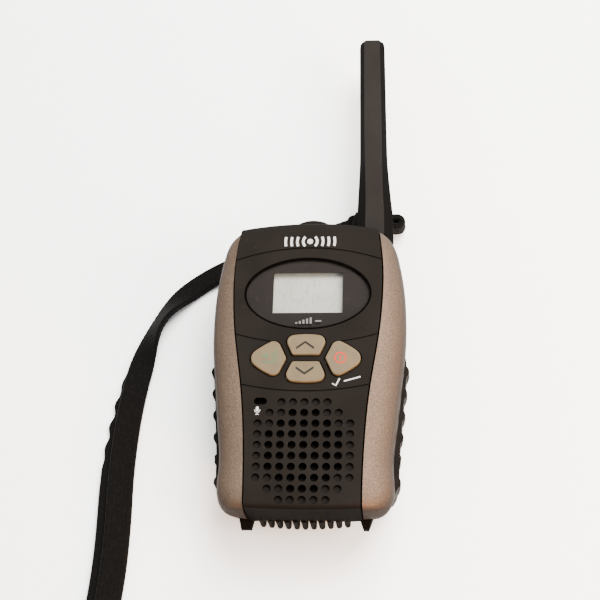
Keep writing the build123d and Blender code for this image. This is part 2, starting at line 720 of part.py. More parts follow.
def jack_cover():
    """Rubber cover with a domed head and a plug stem."""
    dome = ThreePointArc((-8.2, 91.3), (0, 96.2), (8.2, 91.3))
    plan = make_face([dome, Line((8.2, 91.3), (-8.2, 91.3))])
    head = slab(plan, 8.6, 18.6)
    head = fillet(head.edges().filter_by(GeomType.CIRCLE), 0.8)
    return head + bar(JACK_X, JACK_Z, 86.5, 92.0, JACK_BORE - 0.15)


def lens_mask():
    """Printed surround under the display lens."""
    low = FRONT_Z - LENS_DEPTH
    return slab(lens_oval(LENS_GAP) - Pos(0, WINDOW_CENTRE) * Rectangle(*WINDOW), low, low + 0.1)


def display_lens():
    """Clear oval lens over the display."""
    return slab(lens_oval(LENS_GAP), FRONT_Z - LENS_DEPTH + 0.15, FRONT_Z - 0.05)


outer_form = front_form(0)
rear_outer = rear_form(0)
rear_inner = rear_form(REAR_WALL)

single = {
    "front_case": front_case(), "cheek_left": cheek(-1), "cheek_right": cheek(1),
    "rear_case": rear_case(), "battery_door": door(), "grip_left": grip(-1), "grip_right": grip(1),
    "display_lens": display_lens(), "lens_mask": lens_mask(), "display_glass": display_glass(),
    "display_holder": display_holder(), "display_contact": display_contact(),
    "backlight": backlight(), "key_mat": key_mat(), "ptt_key": ptt_key(),
    "ptt_switch": ptt_switch(), "ptt_board": ptt_board(), "main_board": main_board(),
    "shield_can": shield_can(), "control_chip": control_chip(), "audio_chip": audio_chip(),
    "crystal": crystal(), "capacitor": capacitor(), "speaker_frame": speaker_frame(),
    "speaker_cone": speaker_cone(), "speaker_magnet": speaker_magnet(),
    "speaker_felt": speaker_felt(), "microphone": microphone(),
    "microphone_boot": microphone_boot(), "audio_jack": audio_jack(), "jack_cover": jack_cover(),
    "antenna_cover": antenna_cover(), "antenna_rod": antenna_rod(),
    "antenna_bracket": antenna_bracket(), "strap_stud": strap_stud(),
    "strap_hitch": strap_hitch(), "strap_keeper": strap_keeper(), "strap_legs": strap_legs(),
}
single.update({f"key_{key_name}": key_cap(key_name) for key_name in KEY_NAMES})
grouped = {
    "key_domes": key_domes(), "speaker_wires": wires(4.0, SPEAKER_WIRE),
    "microphone_wires": wires(0.9, MIC_WIRE, MIC_X), "battery_cells": battery_cells(),
    "contact_springs": contact_springs(), "contact_plates": contact_plates(),
    "case_screws": case_screws(),
}
for node, shape in single.items():
    save(node, shape)
for node, shapes in grouped.items():
    save(node, Compound(shapes))
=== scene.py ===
import math

import bpy
from mathutils import Matrix, Vector


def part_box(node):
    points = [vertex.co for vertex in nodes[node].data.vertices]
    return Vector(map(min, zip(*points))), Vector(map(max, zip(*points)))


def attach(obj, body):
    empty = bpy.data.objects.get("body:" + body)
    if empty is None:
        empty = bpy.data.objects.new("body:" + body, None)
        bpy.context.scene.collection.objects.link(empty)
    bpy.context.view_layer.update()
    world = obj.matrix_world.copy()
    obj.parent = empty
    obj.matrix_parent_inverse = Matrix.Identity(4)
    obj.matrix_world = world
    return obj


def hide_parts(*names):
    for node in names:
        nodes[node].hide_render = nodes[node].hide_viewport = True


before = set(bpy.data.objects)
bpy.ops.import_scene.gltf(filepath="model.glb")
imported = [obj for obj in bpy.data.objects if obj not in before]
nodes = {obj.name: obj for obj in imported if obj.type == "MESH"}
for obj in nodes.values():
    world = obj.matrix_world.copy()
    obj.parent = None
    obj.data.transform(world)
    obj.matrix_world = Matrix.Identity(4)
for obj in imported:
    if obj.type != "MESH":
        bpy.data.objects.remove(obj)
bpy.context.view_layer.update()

MM = 0.001
SHIFT_Y = -81.0             # body stations count from the bottom feet

# heights and places on the front, in millimetres; the front face is at 30
PANEL_INK_Z = 30.02         # printed marks lie just above their surface
KEY_INK_Z = 30.815
LENS_INK_Z = 29.98
LENS_SHADE_Z = 29.90
MIC_SHADE_Z = 28.72
PAD_CENTRE = 45.8           # middle of the key cluster
KEY_SIDE = 10.0             # from the middle to the left or right key
KEY_STEP = 3.9              # from the middle to the upper or lower key
MIC_X = -12.6
MIC_Y = 32.9

# the strap's route, as laid on the table
STRAP_ROUTE = [
    (9.3, 100.0), (3.6, 98.6), (-6.5, 95.5), (-19.0, 91.3), (-30.4, 86.3), (-39.8, 80.0),
    (-46.4, 72.8), (-50.8, 64.4), (-53.9, 54.2), (-56.3, 43.0), (-57.9, 30.5), (-58.7, 17.5),
    (-58.4, 4.5), (-58.6, -8.0), (-59.6, -20.0), (-61.0, -32.0), (-60.4, -43.0),
]
STRAP_THICK = 1.2           # one leg
STRAP_REST_Z = 1.7          # middle of the two legs together

# camera: angles in degrees, lens in millimetres, distance in metres
CAMERA_SIDE = 5.6           # towards the right
CAMERA_TILT = 23.4          # towards the bottom end
CAMERA_ROLL = 1.84
CAMERA_AIM = (-2.5, 65.5, 27.0)
CAMERA_DISTANCE = 0.4125
CAMERA_LENS = 83.8
SENSOR_WIDTH = 36.0
CLIP_START = 0.01

# lamps: name, place, aim, size, power and colour
KEY_AIM = (0, -0.03, 0.02)
LAMPS = [
    ("overhead", (0.24, 0.33, 0.72), KEY_AIM, 0.55, 33.0, (1.0, 0.985, 0.96)),
    ("side_fill", (0.55, -0.15, 0.45), KEY_AIM, 0.35, 9.5, (1.0, 0.95, 0.88)),
    ("warm_low", (0.20, -0.34, 0.09), (0.018, -0.078, 0.02), 0.08, 3.5, (1.0, 0.45, 0.14)),
]
SKY_COLOR = (1.0, 0.99, 0.975, 1)
SKY_STRENGTH = 1.7
FLOOR_HALF = 2.0            # metres

UP = Vector((0, 0, 1))


def place(x, y, z):
    """Point of the body given in millimetres and stations, as metres in the frame."""
    return Vector((x * MM, (y + SHIFT_Y) * MM, z * MM))


# ---------------------------------------------------------------- camera
def add_camera():
    """Long lens above the front face, a little towards the bottom end and the right."""
    side, tilt, roll = (math.radians(a) for a in (CAMERA_SIDE, CAMERA_TILT, CAMERA_ROLL))
    level = math.cos(tilt)
    back = Vector((math.sin(side) * level, -math.sin(tilt), math.cos(side) * level))
    right = Vector((0, 1, 0)).cross(back).normalized()
    up = back.cross(right)
    level_right = right * math.cos(roll) + up * math.sin(roll)
    level_up = up * math.cos(roll) - right * math.sin(roll)
    target = place(*CAMERA_AIM)
    data = bpy.data.cameras.new("camera")
    data.sensor_width = SENSOR_WIDTH
    data.lens = CAMERA_LENS
    data.clip_start = CLIP_START
    camera = bpy.data.objects.new("camera", data)
    turn = Matrix((level_right, level_up, back)).transposed().to_4x4()
    camera.matrix_world = Matrix.Translation(target + back * CAMERA_DISTANCE) @ turn
    bpy.context.scene.collection.objects.link(camera)
    bpy.context.scene.camera = camera


# ---------------------------------------------------------------- material helpers
class Surface:
    """A procedural material whose patterns are measured in millimetres on the object."""

    def __init__(self, name, color, roughness, metallic=0.0, specular=0.5):
        self.material = bpy.data.materials.new(name)
        self.material.use_nodes = True
        self.nodes = self.material.node_tree.nodes
        self.links = self.material.node_tree.links
        self.shader = self.nodes["Principled BSDF"]
        self.shader.inputs["Base Color"].default_value = (*color, 1)
        self.shader.inputs["Roughness"].default_value = roughness
        self.shader.inputs["Metallic"].default_value = metallic
        self.shader.inputs["Specular IOR Level"].default_value = specular
        self.coordinates = self.nodes.new("ShaderNodeTexCoord")

    def join(self, output, target):
        self.links.new(output, target)

    def noise(self, size, detail=3.0, stretch=(1, 1, 1)):
        """Noise whose features are about size millimetres."""
        mapping = self.nodes.new("ShaderNodeMapping")
        mapping.inputs["Scale"].default_value = [k / (size * MM) for k in stretch]
        texture = self.nodes.new("ShaderNodeTexNoise")
        texture.inputs["Scale"].default_value = 1.0
        texture.inputs["Detail"].default_value = detail
        self.join(self.coordinates.outputs["Object"], mapping.inputs["Vector"])
        self.join(mapping.outputs["Vector"], texture.inputs["Vector"])
        return texture.outputs["Fac"]

    def ramp(self, value, stops):
        """Colour ramp over a value; stops are (position, colour)."""
        node = self.nodes.new("ShaderNodeValToRGB")
        elements = node.color_ramp.elements
        while len(elements) < len(stops):
            elements.new(0.5)
        for element, (position, color) in zip(elements, stops):
            element.position = position
            element.color = (*color, 1)
        self.join(value, node.inputs["Fac"])
        return node.outputs["Color"]

    def mix(self, factor, first, second):
        """Mix two colours by a factor output or a number."""
        node = self.nodes.new("ShaderNodeMix")
        node.data_type = "RGBA"
        for k, value in ((0, factor), (6, first), (7, second)):
            socket = node.inputs[k]
            if isinstance(value, bpy.types.NodeSocket):
                self.join(value, socket)
            elif isinstance(value, (int, float)):
                socket.default_value = value
            else:
                socket.default_value = (*value, 1)
        return node.outputs[2]

    def painted_shade_mask(self, low=0.2, high=0.92):
        """Share from 0 on the part's side walls to 1 on its front, the mask of the painted shade on
        side walls.
        """
        split = self.nodes.new("ShaderNodeSeparateXYZ")
        self.join(self.coordinates.outputs["Normal"], split.inputs["Vector"])
        limits = self.nodes.new("ShaderNodeMapRange")
        limits.inputs["From Min"].default_value = low
        limits.inputs["From Max"].default_value = high
        self.join(split.outputs["Z"], limits.inputs["Value"])
        return limits.outputs["Result"]

    def color(self, output):
        self.join(output, self.shader.inputs["Base Color"])

    def roughness(self, value, low, high):
        """Roughness that follows a value between two limits."""
        node = self.nodes.new("ShaderNodeMapRange")
        node.inputs["To Min"].default_value = low
        node.inputs["To Max"].default_value = high
        self.join(value, node.inputs["Value"])
        self.join(node.outputs["Result"], self.shader.inputs["Roughness"])

    def bump(self, value, depth):
        """Bump of a depth in millimetres."""
        node = self.nodes.new("ShaderNodeBump")
        node.inputs["Distance"].default_value = depth * MM
        node.inputs["Strength"].default_value = 1.0
        self.join(value, node.inputs["Height"])
        self.join(node.outputs["Normal"], self.shader.inputs["Normal"])


def scaled(color, factor):
    return tuple(channel * factor for channel in color)


# ---------------------------------------------------------------- materials
def moulded_plastic(name, color, roughness=0.68, grain=0.35, depth=0.02, specular=0.012,
                    painted_side_shade=0.3, turn=(0.2, 0.92)):
    """Spark-textured plastic, greyed by handling and dust specks on its front, with painted shade
    darkening its side walls.
    """
    s = Surface(name, color, roughness, 0.0, specular)
    patches = s.noise(14.0, 4.0)
    fine = s.noise(grain, 2.0)
    dust = s.noise(1.3, 6.0)
    tone = s.ramp(patches, [(0.3, scaled(color, 0.86)), (0.7, scaled(color, 1.14))])
    specks = s.ramp(dust, [(0.66, (0, 0, 0)), (0.74, (1, 1, 1))])
    tone = s.mix(specks, tone, scaled(color, 1.55))
    # painted shade: the side walls take a darker copy of the colour
    s.color(s.mix(s.painted_shade_mask(*turn), scaled(color, painted_side_shade), tone))
    s.roughness(patches, roughness - 0.08, roughness + 0.1)
    s.bump(fine, depth)
    return s.material


def silver_paint():
    """Warm metallic paint with fine flakes, light brushing and small scuffs, and painted shade
    darkening its side walls.
    """
    base = (0.076, 0.0535, 0.0390)
    s = Surface("silver_paint", base, 0.5, 0.25, 0.03)
    s.shader.inputs["Specular Tint"].default_value = (0.30, 0.25, 0.22, 1)
    flakes = s.noise(0.34, 3.0)
    cloud = s.noise(9.0, 3.0)
    streaks = s.noise(2.4, 4.0, (1.0, 0.12, 1.0))
    scuffs = s.noise(3.2, 8.0)
    tone = s.ramp(flakes, [(0.36, scaled(base, 0.7)), (0.5, base), (0.64, scaled(base, 1.4))])
    clouding = s.ramp(cloud, [(0.3, (0, 0, 0)), (0.75, (0.35, 0.35, 0.35))])
    tone = s.mix(clouding, tone, scaled(base, 0.82))
    marks = s.ramp(scuffs, [(0.70, (0, 0, 0)), (0.76, (0.8, 0.8, 0.8))])
    tone = s.mix(marks, tone, (0.045, 0.035, 0.028))
    # painted shade: side walls take the base colour darkened to 0.12
    s.color(s.mix(s.painted_shade_mask(0.1, 0.9), scaled(base, 0.12), tone))
    s.roughness(streaks, 0.44, 0.6)
    s.bump(flakes, 0.010)
    return s.material


def key_rubber():
    """Beige silicone, greyed by handling."""
    base = (0.075, 0.0530, 0.0250)
    s = Surface("key_rubber", base, 0.62, 0.0, 0.2)
    grime = s.noise(3.5, 5.0)
    fine = s.noise(0.3, 2.0)
    s.color(s.ramp(grime, [(0.32, scaled(base, 0.82)), (0.6, base), (0.8, scaled(base, 1.1))]))
    s.roughness(grime, 0.52, 0.7)
    s.bump(fine, 0.012)
    s.shader.inputs["Subsurface Weight"].default_value = 0.12
    s.shader.inputs["Subsurface Scale"].default_value = 0.001
    return s.material


def soft_rubber():
    """Dark brown-black rubber of the grips and covers."""
    base = (0.0045, 0.0032, 0.0026)
    s = Surface("soft_rubber", base, 0.6, 0.0, 0.03)
    wear = s.noise(6.0, 5.0)
    fine = s.noise(0.25, 2.0)
    s.color(s.ramp(wear, [(0.35, scaled(base, 0.7)), (0.7, scaled(base, 1.7))]))
    s.roughness(wear, 0.5, 0.72)
    s.bump(fine, 0.025)
    return s.material


def display_face():
    """Grey-green reflective display with a faint clouding."""
    base = (0.228, 0.228, 0.198)
    s = Surface("display_face", base, 0.4, 0.0, 0.2)
    cloud = s.noise(9.0, 3.0)
    rubbed = s.noise(1.1, 7.0, (1.0, 0.45, 1.0))
    tone = s.ramp(cloud, [(0.3, scaled(base, 0.9)), (0.5, base), (0.75, scaled(base, 1.1))])
    scratches = s.ramp(rubbed, [(0.53, (0, 0, 0)), (0.66, (0.5, 0.5, 0.5))])
    s.color(s.mix(scratches, tone, scaled(base, 0.66)))
    s.roughness(cloud, 0.34, 0.46)
    return s.material


def clear_lens():
    """Clear window with a slight smoky tint; its gloss is carried by the print and display under it."""
    s = Surface("clear_lens", (0.0, 0.0, 0.0), 0.5, 0.0, 0.0)
    scratches = s.noise(1.2, 6.0, (1.0, 0.2, 1.0))
    s.roughness(scratches, 0.42, 0.58)
    s.shader.inputs["Alpha"].default_value = 0.03
    s.material.blend_method = "BLEND"
    return s.material


def woven_yarn(name, base):
    """Polyester yarn with lint and a faint sheen."""
    s = Surface(name, base, 0.85, 0.0, 0.05)
    lint = s.noise(0.9, 6.0)
    yarn = s.noise(0.16, 2.0, (1.0, 1.0, 1.0))
    stops = [(0.35, scaled(base, 0.65)), (0.6, scaled(base, 1.2)), (0.85, scaled(base, 2.6))]
    s.color(s.ramp(lint, stops))
    s.bump(yarn, 0.03)
    s.shader.inputs["Sheen Weight"].default_value = 0.03
    s.shader.inputs["Sheen Roughness"].default_value = 0.4
    return s.material


def metal(name, color, roughness):
    """Plain plated or ground metal with light brushing."""
    s = Surface(name, color, roughness, 1.0)
    streaks = s.noise(0.8, 4.0, (1.0, 0.1, 1.0))
    s.color(s.ramp(streaks, [(0.3, scaled(color, 0.85)), (0.7, scaled(color, 1.08))]))
    s.roughness(streaks, roughness - 0.08, roughness + 0.12)
    return s.material


def plain_moulding(name, color, roughness, grain=1.5, specular=0.5):
    """Small inner part: moulded or printed, with slight variation."""
    s = Surface(name, color, roughness, 0.0, specular)
    patches = s.noise(grain, 4.0)
    s.color(s.ramp(patches, [(0.3, scaled(color, 0.85)), (0.7, scaled(color, 1.12))]))
    s.roughness(patches, roughness - 0.05, roughness + 0.08)
    s.bump(patches, 0.01)
    return s.material


def worn_ink(name, ink, ground, amount, specular=0.08):
    """Printed symbol that handling has partly rubbed away."""
    s = Surface(name, ink, 0.65, 0.0, specular)
    rub = s.noise(0.8, 6.0)
    gone = s.ramp(rub, [(amount, (0, 0, 0)), (amount + 0.12, (1, 1, 1))])
    s.color(s.mix(gone, ink, ground))
    return s.material


def pale_floor():
    """Matt, nearly white table top."""
    s = Surface("pale_floor", (0.96, 0.96, 0.955), 0.95, 0.0, 0.05)
    s.bump(s.noise(30.0), 0.02)
    return s.material


DARK = (0.0067, 0.0056, 0.0048)
# painted shade: the case's side walls and rounded ends are darkened to a tenth of its colour
case_plastic = moulded_plastic("case_plastic", DARK, specular=0.01, painted_side_shade=0.1)
rear_plastic = moulded_plastic("rear_plastic", (0.0036, 0.0026, 0.0021), 0.6, 0.5, 0.03)
# painted shade: the antenna's side bevels are darkened to a tenth of its colour
antenna_plastic = moulded_plastic("antenna_plastic", (0.0098, 0.0083, 0.0074), 0.6, 0.3, 0.015, 0.015,
                                  0.1, (0.7, 0.97))
paint = silver_paint()
rubber = soft_rubber()
keys_rubber = key_rubber()
yarn = woven_yarn("woven_yarn", (0.0014, 0.0011, 0.0009))
# painted sheen: the keeper sleeve's yarn is a lighter copy of the strap's, for the light on its smooth
# face
keeper_sheen_yarn = woven_yarn("keeper_sheen_yarn", (0.0062, 0.0056, 0.0052))
wire_red = moulded_plastic("wire_red", (0.35, 0.02, 0.015), 0.4, 0.5, 0.004)
lcd = display_face()
lens = clear_lens()
mask_print = moulded_plastic("mask_print", (0.0098, 0.0083, 0.0075), 0.5, 0.5, 0.004, 0.02)
steel = metal("plated_steel", (0.62, 0.61, 0.58), 0.35)
magnet_metal = metal("magnet_metal", (0.12, 0.12, 0.12), 0.5)
brass = metal("brass", (0.72, 0.53, 0.24), 0.3)
board = plain_moulding("board_green", (0.02, 0.13, 0.05), 0.35)
chip = plain_moulding("chip_black", (0.02, 0.02, 0.022), 0.45)
diffuser = plain_moulding("diffuser_white", (0.8, 0.8, 0.75), 0.5)
cone_paper = plain_moulding("cone_paper", (0.008, 0.006, 0.005), 0.8, 0.4, 0.03)
felt = plain_moulding("felt", (0.006, 0.0045, 0.0038), 0.95, 0.3, 0.02)
cell_wrap = plain_moulding("cell_wrap", (0.03, 0.12, 0.30), 0.3, 6.0)
white_ink = worn_ink("white_ink", (0.33, 0.32, 0.31), DARK, 0.70)
# painted shade: near-black sheet laid in the lens gap and the microphone slot
painted_shade_black = worn_ink("painted_shade_black", (0.0008, 0.0006, 0.0005), DARK, 0.95, 0.003)
grey_ink = worn_ink("grey_ink", (0.085, 0.080, 0.075), DARK, 0.70)
dark_ink = worn_ink("dark_ink", (0.008, 0.007, 0.005), (0.098, 0.072, 0.038), 0.74)
green_ink = worn_ink("green_ink", (0.040, 0.078, 0.040), (0.098, 0.072, 0.038), 0.56)
red_ink = worn_ink("red_ink", (0.30, 0.022, 0.010), (0.12, 0.070, 0.036), 0.74)

NODE_MATERIALS = {
    "front_case": case_plastic, "rear_case": rear_plastic, "battery_door": rear_plastic,
    "cheek_left": paint, "cheek_right": paint, "grip_left": rubber, "grip_right": rubber,
    "display_lens": lens, "lens_mask": mask_print, "display_glass": lcd, "ptt_key": rubber,
    "key_up": keys_rubber, "key_down": keys_rubber, "key_power": keys_rubber,
    "key_call": keys_rubber, "key_mat": keys_rubber, "key_domes": steel, "ptt_switch": chip,
    "ptt_board": board, "main_board": board, "display_holder": chip, "display_contact": rubber,
    "backlight": diffuser, "shield_can": steel, "control_chip": chip, "audio_chip": chip,
    "crystal": steel, "capacitor": chip, "speaker_frame": steel, "speaker_cone": cone_paper,
    "speaker_magnet": magnet_metal, "speaker_wires": wire_red, "microphone_wires": wire_red,
    "speaker_felt": felt, "microphone": steel,
    "microphone_boot": rubber, "audio_jack": chip, "jack_cover": rubber,
    "antenna_cover": antenna_plastic, "antenna_rod": brass, "antenna_bracket": brass,
    "strap_stud": antenna_plastic, "battery_cells": cell_wrap, "contact_springs": steel,
    "contact_plates": steel, "case_screws": steel,
    "strap_hitch": yarn, "strap_keeper": yarn, "strap_legs": yarn,
}


def dress_nodes():
    """Give every carried-over part its material."""
    for name, material in NODE_MATERIALS.items():
        slots = nodes[name].material_slots
        for slot in slots:
            slot.material = material


# ---------------------------------------------------------------- printed symbols
def stroke(points, width):
    """Closed outline of a line of one width."""
    left, right = [], []
    for i, (x, y) in enumerate(points):
        x0, y0 = points[max(i - 1, 0)]
        x1, y1 = points[min(i + 1, len(points) - 1)]
        length = math.hypot(x1 - x0, y1 - y0)
        nx, ny = -(y1 - y0) / length, (x1 - x0) / length
        left.append((x + nx * width / 2, y + ny * width / 2))
        right.append((x - nx * width / 2, y - ny * width / 2))
    return left + right[::-1]


def arc_points(x, y, radius, start, end, count=16):
    """Points along a circular arc, angles in degrees."""
    angles = [math.radians(start + (end - start) * i / (count - 1)) for i in range(count)]
    return [(x + radius * math.cos(a), y + radius * math.sin(a)) for a in angles]


def turned(loops, degrees, x, y):
    """Loops turned about their origin and moved to a place."""
    c, s = math.cos(math.radians(degrees)), math.sin(math.radians(degrees))
    return [[(x + px * c - py * s, y + px * s + py * c) for px, py in loop] for loop in loops]


def printed(name, loops, z, material, body, slot_name, thickness=0.05):
    """Thin printed mark lying on a surface at height z, in millimetres."""
    data = bpy.data.curves.new(name + "_line", "CURVE")
    data.dimensions = "2D"
    data.fill_mode = "BOTH"
    data.extrude = thickness * MM / 2
    for loop in loops:
        spline = data.splines.new("POLY")
        spline.points.add(len(loop) - 1)
        for point, (x, y) in zip(spline.points, loop):
            point.co = (x * MM, (y + SHIFT_Y) * MM, 0, 1)
        spline.use_cyclic_u = True
    curve = bpy.data.objects.new(name + "_line", data)
    bpy.context.scene.collection.objects.link(curve)
    bpy.context.view_layer.update()
    mesh = bpy.data.meshes.new_from_object(curve)
    bpy.data.objects.remove(curve)
    for vertex in mesh.vertices:
        vertex.co.z += z * MM
    mesh.materials.clear()
    mesh.materials.append(material)
    piece = bpy.data.objects.new(name, mesh)
    bpy.context.scene.collection.objects.link(piece)
    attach(piece, body)
    return piece


def wave_mark():
    """Generic radio-wave emblem: a dot with four arcs on each side."""
    loops = [arc_points(0, 0, 0.85, 0, 345, 24)]
    for radius in (2.1, 3.85, 5.6, 7.35):
        spread = math.degrees(math.asin(1.5 / radius))
        loops.append(stroke(arc_points(0, 0, radius, -spread, spread), 0.75))
        loops.append(stroke(arc_points(0, 0, radius, 180 - spread, 180 + spread), 0.75))
    return turned(loops, 0, 0.3, 83.2)


def signal_mark():
    """Rising signal bars beside a short dash."""
    loops = []
    for i in range(5):
        x = -3.4 + 1.05 * i
        height = 0.5 + 0.36 * i
        loops.append([(x, 0), (x + 0.6, 0), (x + 0.6, height), (x, height)])
    loops.append([(2.4, 0.6), (4.2, 0.6), (4.2, 1.05), (2.4, 1.05)])
    return turned(loops, 0, 0.0, 56.7)


def tick_mark():
    """Tick and a short line, sloping with the panel groove."""
    tick = stroke([(-4.3, 0.3), (-3.5, -0.6), (-1.9, 1.2)], 0.42)
    line = [(-0.9, -0.15), (4.0, -0.15), (4.0, 0.25), (-0.9, 0.25)]
    return turned([tick, line], 16, 12.0, 39.1)


def mic_mark():
    """Small microphone pictogram."""
    capsule = arc_points(0, 0.75, 0.42, 0, 180, 8) + arc_points(0, 0.15, 0.42, 180, 360, 8)
    cradle = stroke(arc_points(0, 0.2, 0.78, 180, 360, 12), 0.2)
    stem = [(-0.1, -1.15), (0.1, -1.15), (0.1, -0.55), (-0.1, -0.55)]
    foot = [(-0.45, -1.3), (0.45, -1.3), (0.45, -1.1), (-0.45, -1.1)]
    return turned([capsule, cradle, stem, foot], 0, -13.4, 30.1)


def lens_rim_shade_loops():
    """Dark sheet of painted shade filling the narrow gap round the lens."""
    low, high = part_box("display_lens")
    middle = (low + high) / 2 / MM
    half = (high - low) / 2 / MM
    angles = [math.radians(3 * i) for i in range(120)]
    loops = []
    for grow in (0.58, 0.02):
        wide, tall = half.x + grow, half.y + grow
        loops.append([(wide * math.cos(a), tall * math.sin(a)) for a in angles])
    return turned(loops, 0, middle.x, middle.y - SHIFT_Y)


def mic_slot_shade():
    """Black sheet of painted shade at the bottom of the microphone's slot, round ended."""
    half, radius = 0.8, 1.0
    right = [(half + x, y) for x, y in arc_points(0, 0, radius, -90, 90, 14)]
    left = [(x - half, y) for x, y in arc_points(0, 0, radius, 90, 270, 14)]
    return turned([right + left], 0, MIC_X, MIC_Y)


def chevron(x, y, sense):
    """Arrow head pointing along +Y or -Y."""
    half, rise = 2.6, 1.9
    end = y - sense * rise / 2
    points = [(x - half, end), (x, y + sense * rise / 2), (x + half, end)]
    left = [(px, py + 0.36) for px, py in points]
    right = [(px, py - 0.36) for px, py in points]
    return [left + right[::-1]]


def power_mark():
    """Ring with an upright bar."""
    ring_out = arc_points(0, 0, 1.75, 0, 350, 36)
    ring_in = arc_points(0, 0, 1.35, 0, 350, 36)
    upright = [(-0.19, -0.85), (0.19, -0.85), (0.19, 0.85), (-0.19, 0.85)]
    return turned([ring_out, ring_in, upright], 0, KEY_SIDE, PAD_CENTRE)


def call_mark():
    """Worn sound-wave symbol over a short bar."""
    body = [(-2.6, 0.3), (-1.9, 0.3), (-1.1, -0.3), (-1.1, 1.8), (-1.9, 1.2), (-2.6, 1.2)]
    loops = [body]
    for radius in (0.8, 1.7, 2.6):
        loops.append(stroke(arc_points(-1.0, 0.75, radius, -40, 40, 10), 0.38))
    loops.append([(-2.6, -1.6), (1.6, -1.6), (1.6, -1.15), (-2.6, -1.15)])
    return turned(loops, 0, 0.1 - KEY_SIDE, PAD_CENTRE + 0.1)


def add_symbols():
    """Lay every printed mark on its surface, and the dark sheets of painted shade in the microphone
    slot and the gap round the lens.
    """
    panel, key = PANEL_INK_Z, KEY_INK_Z
    upper = chevron(-0.2, PAD_CENTRE + KEY_STEP, 1)
    lower = chevron(-0.2, PAD_CENTRE - KEY_STEP, -1)
    rows = [
        ("wave_emblem", wave_mark(), panel, white_ink, "radio", "dark_case"),
        ("signal_emblem", signal_mark(), LENS_INK_Z, grey_ink, "radio", "mask_print"),
        ("tick_emblem", tick_mark(), panel, white_ink, "radio", "dark_case"),
        # painted shade: black sheet in the gap round the lens
        ("lens_rim_shade", lens_rim_shade_loops(), LENS_SHADE_Z, painted_shade_black, "radio", "dark_case"),
        # painted shade: black sheet at the bottom of the microphone slot
        ("mic_slot_shade", mic_slot_shade(), MIC_SHADE_Z, painted_shade_black, "radio", "dark_case"),
        ("mic_emblem", mic_mark(), panel, white_ink, "radio", "dark_case"),
        ("up_mark", upper, key, dark_ink, "key_up_body", "key_rubber"),
        ("down_mark", lower, key, dark_ink, "key_down_body", "key_rubber"),
        ("power_emblem", power_mark(), key, red_ink, "key_power_body", "key_rubber"),
        ("call_emblem", call_mark(), key, green_ink, "key_call_body", "key_rubber"),
    ]
    for row in rows:
        printed(*row)


# ---------------------------------------------------------------- wrist strap
def smooth_line(points, closed=False):
    """Points along the smooth curve that has the given points as its controls."""
    data = bpy.data.curves.new("line", "CURVE")
    data.dimensions = "3D"
    data.resolution_u = 24
    spline = data.splines.new("NURBS")
    spline.points.add(len(points) - 1)
    for point, co in zip(spline.points, points):
        point.co = (*co, 1)
    spline.use_cyclic_u = closed
    spline.order_u = 3
    spline.use_endpoint_u = not closed
    curve = bpy.data.objects.new("line", data)
    bpy.context.scene.collection.objects.link(curve)
    bpy.context.view_layer.update()
    mesh = bpy.data.meshes.new_from_object(curve)
    line = [vertex.co.copy() for vertex in mesh.vertices]
    bpy.data.objects.remove(curve)
    return line


def evenly(line, step, closed=False):
    """The line walked again at even steps."""
    if closed:
        line = line + [line[0]]
    lengths = [0.0]
    for a, b in zip(line, line[1:]):
        lengths.append(lengths[-1] + (b - a).length)
    count = max(int(lengths[-1] / step), 2)
    walked, k = [], 0
    for i in range(count + (0 if closed else 1)):
        at = lengths[-1] * i / count
        while k < len(line) - 2 and lengths[k + 1] < at:
            k += 1
        share = (at - lengths[k]) / max(lengths[k + 1] - lengths[k], 1e-9)
        walked.append(line[k].lerp(line[k + 1], share))
    return walked


WEAVE_ROW = 1.65            # one rib along the band
WEAVE_COLUMN = 1.14
WEAVE_HIGH = 0.20
BAND_COLUMNS = 28


def weave_height(across, along):
    """Height of the woven ribs, in millimetres."""
    column = math.floor(across / WEAVE_COLUMN)
    slant = (across / WEAVE_COLUMN - column - 0.5) * (0.5 if column % 2 else -0.5)
    rib = abs(math.sin(math.pi * (along / WEAVE_ROW + slant + 0.5 * (column % 2))))
    ridge = abs(math.sin(math.pi * across / WEAVE_COLUMN)) ** 0.6
    return WEAVE_HIGH * ridge * rib ** 0.7


def woven_ring(middle, side, up, width, along, thickness):
    """Cross-section of a band: ribs on both faces, plain rounded edges."""
    ring = []
    for sign in (1, -1):
        for j in range(BAND_COLUMNS + 1):
            across = (j / BAND_COLUMNS - 0.5) * width * sign
            edge = max(0.0, abs(across) / (width / 2) - 0.86) / 0.14
            height = thickness / 2 * math.sqrt(max(1 - edge ** 2 * 0.8, 0.0))
            height += weave_height(abs(across) + 0.1, along) * (1 - edge)
            ring.append(middle + (side * across + up * sign * height) * MM)
    return ring


def woven_piece(name, stations, thickness, material, closed=False):
    """Woven band through stations of middle, side, up, width and distance along."""
    rings = [woven_ring(*station, thickness) for station in stations]
    size = len(rings[0])
    vertices = [tuple(vertex) for ring in rings for vertex in ring]
    faces = []
    for i in range(len(rings) - (0 if closed else 1)):
        here, ahead = i * size, (i + 1) % len(rings) * size
        for j in range(size):
            k = (j + 1) % size
            faces.append((here + j, here + k, ahead + k, ahead + j))
    if not closed:
        faces.append(tuple(range(size))[::-1])
        faces.append(tuple(range(len(vertices) - size, len(vertices))))
    mesh = bpy.data.meshes.new(name)
    mesh.from_pydata(vertices, [], faces)
    mesh.validate()
    mesh.shade_smooth()
    mesh.materials.append(material)
    piece = bpy.data.objects.new(name, mesh)
    bpy.context.scene.collection.objects.link(piece)
    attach(piece, "radio")
    return piece


